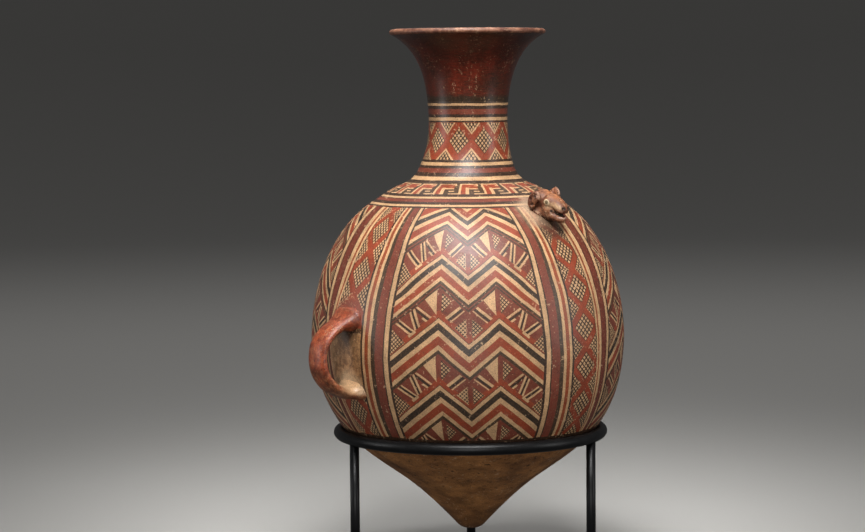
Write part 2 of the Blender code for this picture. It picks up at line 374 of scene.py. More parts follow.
zigzag = {                      # lengths in millimetres
    "peak": 0.385,              # of the half width, from the middle
    "dotPitch": 5.4,
    "rowScale": 87.6,
    "peakReach": 39.7,
    "halfReach": 103,
    "slope": radians(38.6),
    "strip": (37.6, 61.5),      # where the motifs lie in a row
    "triangleSide": 3.4,        # from the upright line beside it
    "row": (
        (0, cream), (0.066, black), (0.176, cream), (0.267, red), (0.400, cream), (0.474, olive),
        (0.530, maroon), (0.878, red), (0.985, umber), (1, umber)),
    "topRow": ((0, cream), (0.80, cream), (0.86, red), (1, red)),
    # Three groups of strokes outside the peak, one inside
    "rising": (
        (60, nothing), (78.6, cream), (81.4, nothing), (82.3, black), (85.6, cream), (88.4, nothing),
        (95, nothing)),
    "falling": ((50, nothing), (60, cream), (63.3, umber), (66.3, cream), (69.2, nothing), (75, nothing)),
    "outermost": (
        (100, nothing), (109.6, cream), (112, umber), (115.6, cream), (118.6, nothing), (125, nothing)),
    "inner": (
        (60, nothing), (73.2, cream), (77, umber), (80.6, nothing), (81.3, cream), (83, nothing),
        (90, nothing)),
}


def finishPanel(coat, colour, arc):
    # The stripes over and under a panel run on all round the jar
    colour = coat.mix(arc > pattern["panelTop"], colour, umber)
    colour = coat.mix(arc > pattern["topStripe"], colour, cream)
    colour = coat.mix(arc < pattern["bareBelow"] + 6, colour, umber)
    return finishPaint(coat, smearNearHead(coat, colour))


def zigzagPaint():
    coat = Coat("zigzagPaint")
    angle, arc = jarPlace(coat)
    theta = angle.wrapped(-45, 45)
    down = 562 - arc
    rows = 1.11 + down * 0.0123 - down * down * 2.2e-6
    edge = abs((theta + leaning(arc)) / halfWidth(arc))
    aside = (theta - 0.4 - down * 0.0018) / (28.1 - above(arc, 361) * 0.0114 - above(arc, 510) * 0.03)
    side = abs(aside)
    peak = zigzag["peak"]
    valleyDrop = (down * 0.00055).least(0.10) + 0.29
    outerDrop = (0.69 - down * 0.0005) * (down * 0.00505 + 0.374).least(1)
    inward = (peak - side) * valleyDrop / peak
    outward = (side - peak) * outerDrop / (1 - peak)
    level = rows - inward.most(outward) - aside * 0.022
    share = level.part()
    colour = coat.bands(share * ((level < 3) * (share < 0.5) * 0.12 + 1), zigzag["row"])
    # The motif strip: along is measured from its peak, across at right angles to it
    height = share * zigzag["rowScale"]
    half, slope = zigzag["halfReach"], zigzag["slope"]
    fromPeak = side * half - zigzag["peakReach"]
    reach = abs(fromPeak)
    along = reach / cos(slope) + height * sin(slope)
    across = height * cos(slope)
    inner = fromPeak < 0
    right = aside > 0
    lattice = dots(aside * (half / zigzag["dotPitch"]), arc / zigzag["dotPitch"])
    net = coat.mix(lattice, umber, cream)
    # The first stroke's dark neighbour starts lower down, and the pale wedge lower still
    outer = across.between(*zigzag["strip"]) * (1 - inner)
    rising = along + across * 0.286
    late = (rising < 85.5).most(across > 54)
    colour = coat.strokes(colour, outer * late * (along < 76), rising, zigzag["rising"])
    colour = coat.strokes(colour, outer, along - across * 0.325, zigzag["falling"])
    colour = coat.strokes(colour, outer, along + across * 0.33, zigzag["outermost"])
    foot = across.between(61.0, 64.4) * along.between(89, 101) * (1 - inner)
    colour = coat.mix(foot, colour, cream)
    low = inner * across.between(38.6, 62.5)
    colour = coat.strokes(colour, low, along + across * 0.2, zigzag["inner"])
    # Triangles beside each upright line: cream at its left, dark and dotted at its right
    gap = zigzag["triangleSide"]
    plainSide = 1 - abs(inner - right)
    wedge = (reach > gap) * (across > 36.4) * (along < 54.8 - (reach - gap) * 0.02)
    colour = coat.mix(wedge * plainSide, colour, cream)
    dotted = (reach > gap) * (across > 40.4) * (along < 53.4) * (1 - plainSide)
    colour = coat.mix(dotted, colour, net)
    valley = (side * half > gap) * (along + across * 0.2 > 91.4) * (across < 64.6) * inner
    colour = coat.mix(valley, colour, coat.mix(abs(lattice - (1 - right)), umber, cream))
    corner = (along + across * 0.18 > 121.5) * across.between(39, 66.5) * (1 - inner)
    colour = coat.mix(corner, colour, net)
    # Above the first zigzag the strip is cut short by the shoulder's bands
    top = coat.mix(inner * (share < 0.80), coat.bands(share, zigzag["topRow"]), net)
    colour = coat.mix(level < 1, colour, top)
    # Frame of the panel
    colour = coat.mix(edge > 0.965, colour, umber)
    colour = coat.mix(edge > 1, colour, cream)
    return finishPanel(coat, colour, arc)


roots = {                       # on the wall, x counted outwards, with the same two reaches
    # soot and the strap's painted shadow, under the upper root
    "sootAndPaintedShadow": ((0.2130, 0.0149, 0.3420), 0.014, 0.034),
    "upper": ((0.2115, 0.0148, 0.3610), 0.024, 0.040),
    "lower": ((0.2110, 0.0148, 0.2660), 0.016, 0.040),
}


def handleGround(coat, colour, inside, height):
    # Bare buff clay between the handles' roots, sooty at its top and with the strap's shadow painted there,
    # and the roots' slip wiped on
    x, y, z = coat.split(coat.place)
    mirrored = coat.node("ShaderNodeCombineXYZ", {}, {0: abs(x), 1: y, 2: z})
    ragged = coat.cloud(0.010, 4, 0.65) * 0.012
    sootAndPaintedShadow, upper, lower = [coat.spot(ragged, *values, mirrored) for values in roots.values()]
    blots = coat.smooth(coat.cloud(0.007, 4, 0.7), 0.36, 0.62)
    bare = coat.mix(blots, rgb(128, 90, 56), rgb(178, 134, 90))
    bare = coat.mix(lower * 0.85, bare, rgb(214, 190, 154))
    # Soot, and the painted shadow that the strap casts on the wall
    bare = coat.mix(sootAndPaintedShadow * 0.85, bare, rgb(72, 50, 30))
    near = abs(x) > 0.15
    column = inside * near * height.between(0.258, 0.348)
    colour = coat.mix(column, colour, bare)
    pricks = coat.smooth(coat.cloud(0.0021, 2, 0.6), 0.44, 0.51)
    colour = coat.mix(column * (height > 0.3415) * pricks, colour, umber)
    return coat.mix(upper * near * (height > 0.348) * 0.9, colour, rgb(134, 62, 42))


sideBand = {
    "nearStripes": (
        (0, cream), (0.14, umber), (0.18, maroon), (0.46, olive), (0.60, cream), (0.705, brown),
        (0.83, cream), (0.925, umber), (1, umber)),
    "farStripes": (
        (0, umber), (0.03, cream), (0.135, brown), (0.22, cream), (0.40, umber), (0.43, plum),
        (0.79, umber), (0.825, cream), (1, cream)),
    "columnWidth": 12.0,        # in degrees
    "columnSwell": 4.0,         # beside a handle
    "diamond": (0.84, 0.37),    # its half width, of the column's, and its half height, of a step
    "flank": (0.72, 0.33),      # the same for the ones that the column's sides cut in half
    # Three values of the column, each with what is added beside a handle
    "step": (51.7, 11.3),
    "start": (411.6, 18.4),
    "lozenges": (2.5, 0.5),
}


def sidePaint():
    # Upright stripes and the column of diamonds between two zigzag panels
    coat = Coat("sidePaint")
    angle, arc = jarPlace(coat)
    turn = abs((angle + leaning(arc)).wrapped(-90, 90))
    edge = halfWidth(arc)
    columnLow = (430 - arc) * 0.0117 + 40.0 - above(arc, 430) * 0.0175
    x, y, z = coat.split(coat.place)
    handleSide = abs(x) > abs(y)
    swell = coat.smooth(z, 0.215, 0.30) * (1 - coat.smooth(z, 0.33, 0.42)) * handleSide
    columnHigh = columnLow + sideBand["columnWidth"] + swell * sideBand["columnSwell"]
    near = coat.bands((turn - edge) / (columnLow - edge), sideBand["nearStripes"])
    far = coat.bands((turn - columnHigh) / (90 - edge - columnHigh), sideBand["farStripes"])
    colour = coat.mix(turn > columnHigh, near, far)
    # Column, from -1 to 1 across and from -0.5 to 0.5 up each step
    step, start, count = [handleSide * sideBand[name][1] + sideBand[name][0]
                          for name in ("step", "start", "lozenges")]
    up = ((arc - start) / step).part() - 0.5
    across = (turn - (columnLow + columnHigh) / 2) / (columnHigh - columnLow) * 2
    wide, tall = sideBand["diamond"]
    diamond = abs(across) / wide + abs(up) / tall
    net = lozenges(coat, across / wide * count + (1 - handleSide) * 0.5, up / tall * count)
    ground = coat.mix(diamond < 1, red, net)
    wide, tall = sideBand["flank"]
    flank = (1 - abs(across)) / wide + (0.5 - abs(up)) / tall
    net = lozenges(coat, across / wide * count, (up + 0.5) / tall * count)
    ground = coat.mix(flank < 1, ground, net)
    inside = (turn > columnLow) * (turn < columnHigh)
    colour = coat.mix(inside, colour, ground)
    return finishPanel(coat, handleGround(coat, colour, inside, z), arc)


neckBand = {
    "bands": (
        (650, cream), (661.5, umber), (664.8, red), (715.4, umber), (717.9, cream), (722.2, umber),
        (726.4, maroon), (733.2, umber), (738, cream), (740.9, black), (760, black)),
    "foot": 664.8,
    "middle": 691.05,
    "top": 715.4,
    "height": 50.1,
    "diamonds": 10,
    "firstDiamond": 23.15,      # in degrees
    "diamond": (0.40, 0.357),   # its half width and half height, of the room it has
    "triangles": ((0.354, 0.32), (0.377, 0.33)),    # between two, at the top and at the foot
}


def neckBandPaint():
    coat = Coat("neckBandPaint")
    angle, arc = jarPlace(coat, 0.7)
    colour = coat.bands(arc, neckBand["bands"])
    band = arc.between(neckBand["foot"], neckBand["top"])
    across = ((angle - neckBand["firstDiamond"]) / (360 / neckBand["diamonds"]) + 0.5).part() - 0.5
    up = (arc - neckBand["middle"]) / neckBand["height"]
    wide, tall = neckBand["diamond"]
    diamond = abs(across) / wide + abs(up) / tall
    net = lozenges(coat, across / wide * 2.5 + 0.5, up / tall * 2.5)
    colour = coat.mix((diamond < 1) * band, colour, net)
    between = 0.5 - abs(across)         # 0.5 in a diamond's middle, 0 between two
    gaps = (neckBand["top"] - arc, arc - neckBand["foot"])
    for gap, (wide, tall) in zip(gaps, neckBand["triangles"]):
        gap = gap / neckBand["height"]
        triangle = between / wide + gap / tall
        colour = coat.mix((triangle < 1) * band, colour, cream)
        net = lozenges(coat, between * 7.3, gap * 6.8 + 0.2)
        colour = coat.mix((triangle < 0.79) * band, colour, net)
    return finishPaint(coat, colour, roughness=0.36)


shoulder = {
    "bands": (
        (560, cream), (573.8, umber), (579.2, maroon), (585.7, umber), (587.2, cream), (591, umber),
        (596.2, olive), (628.5, umber), (633.6, cream), (640.2, umber), (646.6, maroon), (653, umber),
        (656.9, cream), (670, cream)),
    "keys": 19,
    "firstKey": 0.8,            # in degrees
    "keyFoot": 596.0,
    "keyHeight": 32.6,
    # A key's cream strokes: from, to, foot and top, as shares of its width and its height
    "strokes": (
        (0.05, 0.19, 0, 0.56), (0.05, 0.57, 0.41, 0.50), (0.37, 0.60, 0.21, 0.28),
        (0.38, 0.82, 0.02, 0.09), (0.44, 0.62, 0.73, 0.79), (0.57, 0.62, 0.73, 0.93),
        (0.775, 0.865, 0, 0.93)),
}


def shoulderPaint():
    coat = Coat("shoulderPaint")
    angle, arc = jarPlace(coat, 0.7)
    colour = coat.bands(arc, shoulder["bands"])
    along = ((angle - shoulder["firstKey"]) / (360 / shoulder["keys"]) + 0.12).part()
    up = (arc - shoulder["keyFoot"]) / shoulder["keyHeight"]
    band = arc.between(597.0, 627.9)
    field = (along > 0.86).most(along < 0.06).most((along < 0.57) * (up > 0.50)) * (up < 0.90)
    colour = coat.mix(field * band, colour, red)
    for low, high, foot, top in shoulder["strokes"]:
        colour = coat.mix(along.between(low, high) * up.between(foot, top) * band, colour, cream)
    line = (along > 0.80).most(along < 0.60) * up.between(0.87, 0.93)
    colour = coat.mix(line * band, colour, cream)
    return finishPaint(coat, smearNearHead(coat, colour))


# Angle, arc and half the width in degrees
neckScratches = ((-18.6, 765.5, 3.4), (11.4, 765.5, 3.8), (50.6, 796.4, 3.6), (-8, 801, 3))


def neckPaint():
    # Dark burnished slip above the bands, with wiping streaks and old scratches, and painted shade at its
    # sides and up under the lip
    coat = Coat("neckPaint")
    angle, arc = jarPlace(coat, 0.6)
    streaks = coat.cloud(0.009, 5, 0.7, coat.stretched(1, 1, 7))
    clouds = coat.cloud(0.045, 3, 0.6)
    tone = coat.mix(coat.smooth(streaks * 0.5 + clouds * 0.5, 0.38, 0.62), rgb(64, 27, 15), rgb(124, 40, 22))
    # Painted shade: darker to the sides, away from the lit middle that faces the camera
    paintedSideShade = coat.smooth(abs(angle - 4), 12, 34) * (1 - coat.smooth(arc, 780, 800) * 0.3)
    tone = coat.mix(paintedSideShade * 0.5, tone, rgb(44, 25, 15))
    # Painted shade: darker up the flare, under the overhanging lip
    tone = coat.mix(coat.smooth(arc, 780, 870) * 0.7, tone, rgb(42, 22, 13))
    ticks = coat.smooth(coat.cloud(0.0024, 2, 0.6, coat.stretched(1, 1, 0.6)), 0.53, 0.60)
    for middle, height, halfSize in neckScratches:
        away = abs(angle - middle) / halfSize + abs(arc - height) / 9
        tone = coat.mix((1 - coat.smooth(away, 0.5, 1.1)) * ticks * 0.75, tone, rgb(190, 152, 122))
    colour = coat.mix(1 - coat.smooth(arc + (streaks - 0.5) * 7, 748, 755), tone, black)
    return finishPaint(coat, colour, roughness=0.36, wear=0.5, gloss=0.38, mottle=0.2)


def conePaint():
    coat = Coat("conePaint")
    smear = coat.cloud(0.06, 5, 0.65, coat.stretched(1, 1, 3))
    tone = coat.mix(coat.smooth(smear, 0.25, 0.75), rgb(112, 70, 38), rgb(192, 132, 76))
    flecks = coat.cloud(0.009, 4, 0.7, coat.stretched(1, 1, 2.6))
    z = coat.split(coat.place)[2]
    reach = 1 - coat.smooth(abs(z - 0.15), 0.01, 0.05)
    tone = coat.mix(coat.smooth(flecks, 0.57, 0.65) * (reach * 0.6 + 0.25), tone, rgb(56, 32, 18))
    # Painted shade: darker towards the tip, which faces down
    tone = coat.mix((1 - coat.smooth(z, 0.06, 0.11)) * 0.6, tone, rgb(66, 40, 24))
    return finishPaint(coat, tone, roughness=0.6, wear=0.9, gloss=0.22, mottle=0.36, depth=2)


def lipPaint():
    coat = Coat("lipPaint")
    patch = coat.cloud(0.014, 4, 0.65)
    tone = coat.mix(coat.smooth(patch, 0.36, 0.60), rgb(92, 48, 34), rgb(150, 100, 76))
    tone = coat.mix(coat.smooth(patch, 0.60, 0.72), tone, rgb(200, 158, 128))
    return finishPaint(coat, tone, roughness=0.5, wear=0.9, depth=2)


def insidePaint():
    coat = Coat("insidePaint")
    patch = coat.cloud(0.03, 4, 0.6, coat.stretched(1, 1, 4))
    tone = coat.mix(coat.smooth(patch, 0.35, 0.65), rgb(104, 54, 36), rgb(146, 88, 60))
    return finishPaint(coat, tone, roughness=0.62, wear=0.6, gloss=0.2, depth=2)


# Jar. The outline is read at the same stations as the solid's: how far each lies above the one
# before, the radius, the slope in degrees and the wall.
jar = {
    "clearance": 0.055,
    "tipThickness": 0.030,
    "stations": (
        (0.006, 0.018, 47, 0.008),
        (0.073, 0.098, 35, 0.011),
        (0.062, 0.1733, 51, 0.0095),
        (0.124, 0.214, 89, 0.0085),
        (0.1875, 0.128, 148.5, 0.0085),
        (0.022, 0.0905, 163, 0.009),
        (0.0185, 0.0675, 116, 0.009),
        (0.069, 0.054, 88.5, 0.008),
        (0.0995, 0.083, 46, 0.008),
        (0.016, 0.1045, 24, 0.008),
    ),
    "outerStep": 0.0050,
    "innerStep": 0.016,
    "beadSteps": 8,
    "turnSteps": 256,
    "unevenness": 0.0007,
    "trueBelow": 0.20,
    "bulge": (-0.0019, 0.0019),         # how far the belly was pushed aside before it dried
}


def bulgeAt(height):
    # The belly's sideways shift. The base and the neck have none.
    low = clamped((height - 0.20) / 0.11)
    high = clamped((0.60 - height) / 0.065)
    share = low * low * (3 - 2 * low) * high * high * (3 - 2 * high)
    return Vector((*jar["bulge"], 0)) * share


def slopeDirection(degrees):
    return Vector((cos(radians(degrees)), 0, sin(radians(degrees))))


def slopeOutward(degrees):
    return Vector((sin(radians(degrees)), 0, -cos(radians(degrees))))


def outlinePoints(depth, step):
    # Points from the axis up to the lip, depth walls inside the outer surface
    knots = [(Vector((0, 0, depth * jar["tipThickness"])), 0)]
    height = 0
    for rise, radius, slope, wall in jar["stations"]:
        height += rise
        knots.append((Vector((radius, 0, height)) - depth * wall * slopeOutward(slope), slope))
    if depth:
        del knots[1]
    points = []
    for (low, lowSlope), (high, highSlope) in zip(knots, knots[1:]):
        reach = (high - low).length
        lowArm = low + slopeDirection(lowSlope) * reach / 3
        highArm = high - slopeDirection(highSlope) * reach / 3
        count = max(2, ceil(reach / step))
        points += interpolate_bezier(low, lowArm, highArm, high, count + 1)[:-1]
    points.append(knots[-1][0])
    return [point + Vector((0, 0, jar["clearance"])) for point in points]


outline = outlinePoints(0, jar["outerStep"])
outlineArcs = [0]
for lowPoint, highPoint in zip(outline, outline[1:]):
    outlineArcs.append(outlineArcs[-1] + (highPoint - lowPoint).length)


def lineThrough(bm, points):
    verts = [bm.verts.new(point) for point in points]
    return verts + [bm.edges.new(pair) for pair in zip(verts, verts[1:])]


def spinRound(bm, line, steps, seam=0.00001):
    # A full turn about the upright axis, closed at its seam and at its poles
    bmesh.ops.spin(bm, geom=line, axis=(0, 0, 1), cent=(0, 0, 0), angle=tau, steps=steps,
                   use_merge=True)
    bmesh.ops.remove_doubles(bm, verts=bm.verts, dist=seam)
    bmesh.ops.recalc_face_normals(bm, faces=bm.faces)


def finishedPiece(name, bm, materials, replaced):
    piece = placedMesh(name, bm)
    for material in materials:
        piece.data.materials.append(material)
    piece.data.shade_smooth()
    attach(piece, "root")
    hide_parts(*replaced)


jarMaterials = {
    "inside": insidePaint(),
    "lip": lipPaint(),
    "neck": neckPaint(),
    "neckBand": neckBandPaint(),
    "shoulder": shoulderPaint(),
    "zigzag": zigzagPaint(),
    "side": sidePaint(),
    "cone": conePaint(),
}
jarMaterialNames = list(jarMaterials)


def jarRegion(arc, angle):
    # Which paint a face takes. Each border lies inside a stripe that both its paints draw alike.
    if arc < 0:
        return "inside"
    if arc > outlineArcs[-1] - 0.0012:
        return "lip"
    arcMm = arc * 1000
    for name, border in (("neck", "neckTop"), ("neckBand", "neckFoot"), ("shoulder", "shoulderFoot")):
        if arcMm > pattern[border]:
            return name
    if arcMm < pattern["bareBelow"]:
        return "cone"
    theta = (angle - pattern["frontAngle"] + 45) % 90 - 45
    return "zigzag" if abs(theta + leaning(arcMm)) < halfWidth(arcMm) + 0.9 else "side"


def hollowPath():
    # Down the outside, over the lip's bead and down the hollow. Each point has its arc, and the
    # hollow's arcs are negative.
    inside = outlinePoints(1, jar["innerStep"])
    middle = (inside[-1] + outline[-1]) / 2
    spoke = outline[-1] - middle
    over = slopeDirection(jar["stations"][-1][2]) * spoke.length
    path = list(zip(outline, outlineArcs))
    for step in range(1, jar["beadSteps"]):
        angle = pi * step / jar["beadSteps"]
        path.append((middle + spoke * cos(angle) + over * sin(angle),
                     outlineArcs[-1] + spoke.length * angle))
    path += [(point, -1) for point in reversed(inside)]
    return path


def shapeJar():
    bm = bmesh.new()
    meridian = bm.verts.layers.float.new("meridian")
    trueWall = bm.verts.layers.float_vector.new("trueWall")
    path = hollowPath()
    line = lineThrough(bm, [point for point, arc in path])
    for vert, (point, arc) in zip(line, path):
        vert[meridian] = arc
    spinRound(bm, line, jar["turnSteps"])
    for face in bm.faces:
        arcs = [vert[meridian] for vert in face.verts]
        arc = -1 if min(arcs) < 0 else sum(arcs) / len(arcs)
        middle = face.calc_center_median()
        region = jarRegion(arc, degrees(atan2(middle.y, middle.x)))
        face.material_index = jarMaterialNames.index(region)
    # A coil-built wall is never quite true. The paint follows it.
    for vert in bm.verts:
        vert[trueWall] = vert.co
        vert.co += bulgeAt(vert.co.z)
        if vert[meridian] < 0 or vert.co.z < jar["trueBelow"]:
            continue
        swell = noise.noise(vert.co / 0.055) + 0.4 * noise.noise(vert.co / 0.018)
        vert.co -= vert.normal * jar["unevenness"] * max(0, 0.5 + 0.5 * swell)
    finishedPiece("painted_jar", bm, jarMaterials.values(), ["jar"])


shapeJar()
print("jar shaped")

# Strap handles, each in an upright plane a little behind the X axis
handle = {
    "bottom": 0.2048,
    "span": 0.1002,
    "reach": 0.0485,
    "width": 0.0355,
    "thickness": 0.013,
    "roundness": 0.61,
    "slant": 0.020,             # how far the upper root slopes down on its way out
    "turn": radians(4),    # towards the back
    "rootSwell": 1.22,
    "embed": 0.006,
    "flare": 0.020,             # how far out the clay worked in at the wall reaches
    "innerFillet": 0.012,
    "outerFillets": (0.009, 0.001),     # over the upper root, under the lower one
    "sideFillet": 0.009,
    "filletCurve": 2.2,
    "hug": 0.020,               # how far out the strap's section follows the wall's curve
    "bulgeReach": 0.035,        # how far out the strap goes with the belly's bulge
    "softness": 0.85,           # 1 makes the section an ellipse, less makes it boxier
    "lumps": 0.0005,
    "sides": 44,
    "steps": 200,
}


def radiusAt(height):
    # Outer radius at a height above the floor, below the shoulder
    for low, high in zip(outline, outline[1:]):
        if low.z <= height < high.z:
            return low.x + (high.x - low.x) * (height - low.z) / (high.z - low.z)
    return 0


def handlePaint():
    coat = Coat("handlePaint")
    z = coat.split(coat.place)[2]
    patch = coat.cloud(0.016, 4, 0.6)
    tone = coat.mix(coat.smooth(patch, 0.32, 0.68), rgb(118, 46, 27), rgb(176, 78, 44))
    brushed = coat.cloud(0.0055, 4, 0.75)
    low = 1 - coat.smooth(z + (patch - 0.5) * 0.030, 0.262, 0.302)
    tone = coat.mix(low * 0.5, tone, rgb(158, 102, 60))
    tone = coat.mix(coat.smooth(brushed, 0.49, 0.64) * (low * 0.35 + 0.4), tone, rgb(196, 132, 86))
    tone = coat.mix((1 - coat.smooth(brushed, 0.36, 0.47)) * 0.55, tone, rgb(78, 33, 20))
    nearWall = coat.node("ShaderNodeVectorMath", {"operation": "LENGTH"}, {0: coat.stretched(1, 1, 0)},
                         out="Value")
    rubbed = z + (patch - 0.5) * 0.020
    low = coat.smooth(rubbed, 0.256, 0.266) * (1 - coat.smooth(rubbed, 0.276, 0.296))
    low = low * (1 - coat.smooth(nearWall, 0.220, 0.246))
    tone = coat.mix(low * 0.85, tone, rgb(206, 170, 128))
    joined = coat.smooth(z, 0.350, 0.372) * (1 - coat.smooth(nearWall, 0.212, 0.232))
    tone = coat.mix(joined * 0.7, tone, rgb(128, 60, 42))
    return finishPaint(coat, tone, roughness=0.38, wear=1.0, gloss=0.6, depth=3)


def handleLine():
    # Middle of the strap from its upper root down to its lower one
    low = handle["bottom"] + jar["clearance"]
    top = low + handle["span"]
    middle = (low + top) / 2
    reach = radiusAt(middle) + handle["reach"]
    places = (Vector((radiusAt(top) - handle["embed"], 0, top)), Vector((reach, 0, middle)),
              Vector((radiusAt(low) - handle["embed"], 0, low)))
    arms = [arm * handle["roundness"] for arm in (
            Vector((reach - places[0].x, 0, -handle["slant"])), Vector((0, 0, (low - top) / 2)),
            Vector((places[2].x - reach, 0, 0)))]
    line = []
    for at in (0, 1):
        line += interpolate_bezier(places[at], places[at] + arms[at], places[at + 1] - arms[at + 1],
                                   places[at + 1], handle["steps"] // 2 + 1)[:-1]
    return line + [places[2]]


def soft(share):
    return copysign(abs(share) ** handle["softness"], share)


def handleRing(bm, point, aside, way):
    # The strap's section at a point of its middle. Way goes from -1 at the top to 1 at the foot.
    swell = 1 + (handle["rootSwell"] - 1) * way ** 2 * (3 - 2 * abs(way))
    off = point.x - radiusAt(point.z)
    near = clamped(1 - off / handle["flare"]) ** handle["filletCurve"]
    section = []
    for side in range(handle["sides"]):
        spoke = tau * side / handle["sides"]
        across, along = soft(cos(spoke)), soft(sin(spoke))
        fillet = handle["innerFillet"] if across > 0 else handle["outerFillets"][way > 0]
        across *= handle["thickness"] / 2 * swell + fillet * near
        along *= handle["width"] / 2 * (1 + (swell - 1) * 0.5) + handle["sideFillet"] * near
        vert = bm.verts.new(point + aside * across + Vector((0, along, 0)))
        wall = sqrt(radiusAt(vert.co.z) ** 2 - along ** 2) - radiusAt(point.z)
        vert.co.x += wall * clamped(1 - off / handle["hug"])
        section.append(vert)
    return [bm.edges.new(pair) for pair in zip(section, section[1:] + section[:1])]


def shapeHandles():
    material = handlePaint()
    line = handleLine()
    last = len(line) - 1
    for name, turn in (("right_handle", handle["turn"]), ("left_handle", pi - handle["turn"])):
        bm = bmesh.new()
        rings = []
        for at, point in enumerate(line):
            ahead = (line[min(at + 1, last)] - line[max(at - 1, 0)]).normalized()
            rings.append(handleRing(bm, point, Vector((ahead.z, 0, -ahead.x)), at / last * 2 - 1))
        for first, second in zip(rings, rings[1:]):
            bmesh.ops.bridge_loops(bm, edges=first + second)
        bmesh.ops.holes_fill(bm, edges=bm.edges, sides=handle["sides"])
        bmesh.ops.recalc_face_normals(bm, faces=bm.faces)
        for vert in bm.verts:
            lump = noise.noise(vert.co / 0.016) + 0.3 * noise.noise(vert.co / 0.006)
            vert.co -= vert.normal * handle["lumps"] * max(0, 0.5 + lump)
        bmesh.ops.rotate(bm, verts=bm.verts, cent=(0, 0, 0), matrix=Matrix.Rotation(turn, 3, "Z"))
        for vert in bm.verts:
            off = vert.co.xy.length - radiusAt(vert.co.z)
            vert.co += bulgeAt(vert.co.z) * clamped(1 - off / handle["bulgeReach"])
        finishedPiece(name, bm, [material], ["jar"])


shapeHandles()
print("handles shaped")

# Animal head on the shoulder. In its own space it looks along +X with +Z up, in millimetres
# from the middle of its ear line. A lump is a place and its radii.
head = {
    "seatRadius": 0.134,
    "standoff": 0.016,
    "tilt": radians(29),
    "grain": 0.0006,
    "lumps": (
        ((1, 0, -4), (16, 15.5, 12.5)),         # skull
        ((16, 0, 0.5), (14, 14, 10.5)),         # brow
        ((18, 0, -9.5), (15, 14.2, 12.5)),      # cheeks
        ((26, 0, 2), (13.5, 10.5, 8.5)),        # bridge of the nose
        ((31.5, 0, 1.2), (11.5, 10, 7.5)),      # muzzle
        ((36.5, 0, 0), (6.6, 8.6, 4.2)),        # upper lip
        ((25, 0, -13), (16, 12, 7)),            # jaw
        ((37, 0, -12.2), (8.4, 9, 5.6)),        # chin
        # a filler behind the lips, which the dark dabs paint as the mouth's shade
        ((28, 0, -6.5), (11, 6.5, 5)),          # inside the mouth
        ((0, 18, 2.5), (8, 5, 8.5)),            # the far ear's lobe
        ((15, 0, -16), (16, 13.5, 11)),         # throat
    ),
    "eye": ((17, 12.5, 1), (5, 2.8, 4.6)),      # the far one, and the near one mirrors it
    "eyeTurn": radians(-20),
    "ears": ((2, -21.5, -3), (0, 18.5, 0.5)),   # the near one sits lower
    "earSize": (5.6, 9.6),
    "earRim": 2.7,
    "earBeads": 30,
    "earLoop": (15, 305),                       # where its rim starts and ends, in degrees
    "earTurn": radians(28),
    "earLean": radians(12),
    "dents": (                                  # place, reach and depth
        ((41, -5, 4.9), 2.6, 2.6),
        ((41, 5, 4.9), 2.6, 2.6),
        ((3, -25, 2), 3.2, 2.6),                # the near ear's folds
        ((-1.5, -25, -4), 2.6, 2.2),
        ((4, -25, -9.5), 3.0, 2.4),
        ((1, 22, 5), 3.2, 2.6),
        ((1, 22, -5), 3.0, 2.4),
    ),
    # Radius and depth of the clay under the head, flared where it is smeared onto the shoulder
    "neck": ((0, 0), (13, 0), (13.5, 8), (15, 12), (17, 15), (20, 17.4), (20, 19), (0, 19)),
    "neckForward": 4,
    "neckSteps": 40,
    # Dabs of paint, some of them painted shade or painted highlights: the line each follows, its core and
    # its edge, the colour and its strength
    "dabs": (
        (((5, 0, -40), (26, 0, -34)), 8, 20, (186, 158, 130), 0.7),
        # painted shade under the jaw and the throat
        (((12, 8, -26), (34, 4, -24)), 6, 12, (60, 32, 22), 0.85),
        (((2, 0, 9), (22, 0, 11)), 3, 10, (178, 112, 70), 0.6),
        # pale cream paint along the muzzle, partly a painted highlight
        (((20, 14, -2.5), (27, 11, 1.5), (36, 9, 3)), 1, 6, (206, 168, 128), 0.8),
        # painted shade in the mouth's slit and on the filler behind it
        (((27.5, 11, -6.2), (34, 8.5, -5.4), (40, 5.5, -5.2), (43, 0, -5.2)), 1.3, 2.4, (28, 15, 11), 1),
        (((29, 4, -6), (38, 2, -5.4)), 3.4, 4.4, (28, 15, 11), 1),
        (((28, 11.5, -8.8), (34, 10.2, -8.6), (40.5, 7.8, -8.2), (44.5, 0, -8)), 0.8, 1.8,
         (206, 168, 148), 0.95),
        # painted highlight on the upper lip
        (((35.5, 9.2, -0.4), (41, 6.5, -1)), 0.8, 2.2, (196, 146, 122), 0.7),
        # painted shade in the nostrils' dents
        (((41, 5, 5.5),), 2.6, 3.8, (24, 13, 10), 1),
        (((17.2, 15.2, 0.8),), 4.4, 5.0, (226, 200, 162), 1),
        (((17.8, 15.6, 1.8),), 2.3, 2.8, (104, 92, 68), 1),
    ),
    "earDabs": (                                # from the middle of an ear
        # painted shade in the ear's two pits
        (((1.2, 0, 4.6),), 1.3, 3.4, (38, 20, 16), 0.9),
        (((1.2, 0, -6.4),), 1.3, 3.4, (38, 20, 16), 0.9),
        (((-4.5, 0, 4), (-5.5, 0, -3), (-3, 0, -9)), 1, 4, (84, 40, 30), 0.7),
        (((2, 0, 10.5), (5.5, 0, 7)), 1.2, 4, (202, 156, 130), 0.8),
    ),
}


